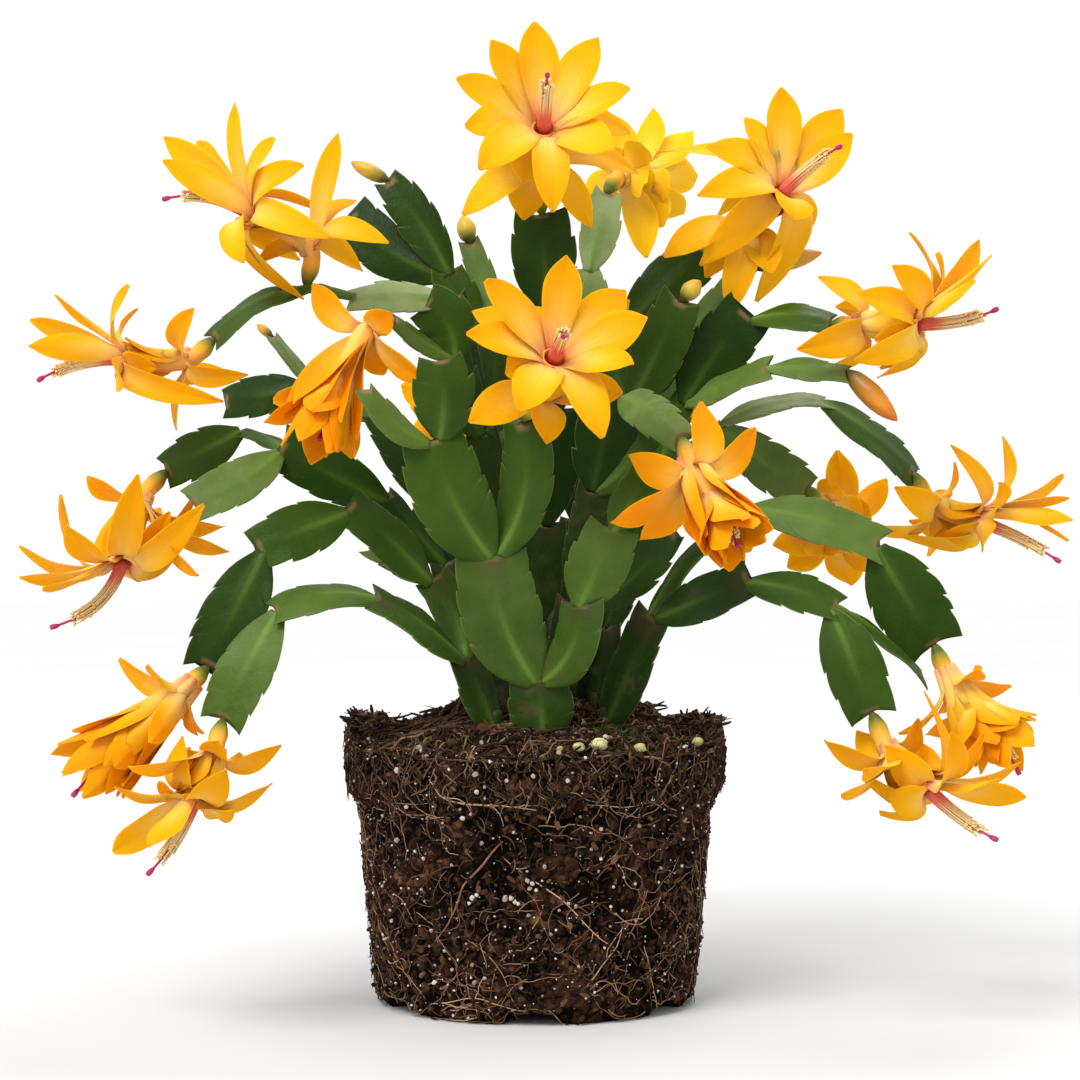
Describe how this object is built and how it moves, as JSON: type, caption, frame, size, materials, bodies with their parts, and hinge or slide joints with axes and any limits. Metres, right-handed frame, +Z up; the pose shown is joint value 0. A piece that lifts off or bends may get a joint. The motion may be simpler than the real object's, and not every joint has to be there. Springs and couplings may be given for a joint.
{
  "type": "christmas cactus on its bare root ball",
  "caption": "Flowering Christmas cactus out of its pot: flat toothed stems and yellow blooms rise and arch from a soil root ball that keeps the pot's shape.",
  "frame": {"origin": "centre of the flat underside of the root ball", "axes": "+Z up out of the soil; -Y is the plant's fullest side, the one that the picture shows; +X to the right seen from there"},
  "size_m": [0.3409, 0.2986, 0.3075],
  "materials": {
    "soil": "dark fibrous potting soil held by tan roots, rough and matt",
    "leaf": "living green stem, waxy, semi-matt",
    "tepal": "golden yellow petal, satin, lets light through",
    "style": "magenta style with pale yellow stamens"
  },
  "bodies": {
    "root": {"stem_front": "leaf", "stem_left_low": "leaf", "stem_left_mid": "leaf", "stem_left_inner": "leaf", "stem_upper_left": "leaf", "stem_top": "leaf", "stem_top_back": "leaf", "stem_top_right": "leaf", "stem_right": "leaf", "stem_right_low": "leaf", "stem_centre_right": "leaf", "stem_back_left": "leaf", "stem_back_right": "leaf", "stem_back_low": "leaf", "root_ball": "soil", "bloom_top_centre": "tepal", "pistil_top_centre": "style", "bloom_top_back": "tepal", "pistil_top_back": "style", "bloom_top_right": "tepal", "pistil_top_right": "style", "bloom_right_upper": "tepal", "pistil_right_upper": "style", "bloom_right_mid": "tepal", "pistil_right_mid": "style", "bloom_right_back": "tepal", "pistil_right_back": "style", "bloom_right_hanging": "tepal", "pistil_right_hanging": "style", "bloom_right_low": "tepal", "pistil_right_low": "style", "bloom_centre": "tepal", "pistil_centre": "style", "bloom_centre_right": "tepal", "pistil_centre_right": "style", "bloom_centre_left": "tepal", "pistil_centre_left": "style", "bloom_top_left": "tepal", "pistil_top_left": "style", "bloom_left_upper": "tepal", "pistil_left_upper": "style", "bloom_left_mid": "tepal", "pistil_left_mid": "style", "bloom_left_low_outer": "tepal", "pistil_left_low_outer": "style", "bloom_left_low": "tepal", "pistil_left_low": "style", "bloom_back_left": "tepal", "pistil_back_left": "style", "bloom_back_right": "tepal", "pistil_back_right": "style", "bloom_back_low": "tepal", "pistil_back_low": "style", "bud_top_left": "tepal", "bud_top": "tepal", "bud_top_inner": "tepal", "bud_top_right": "tepal", "bud_right": "tepal", "bud_left": "tepal"}
  },
  "joints": []
}
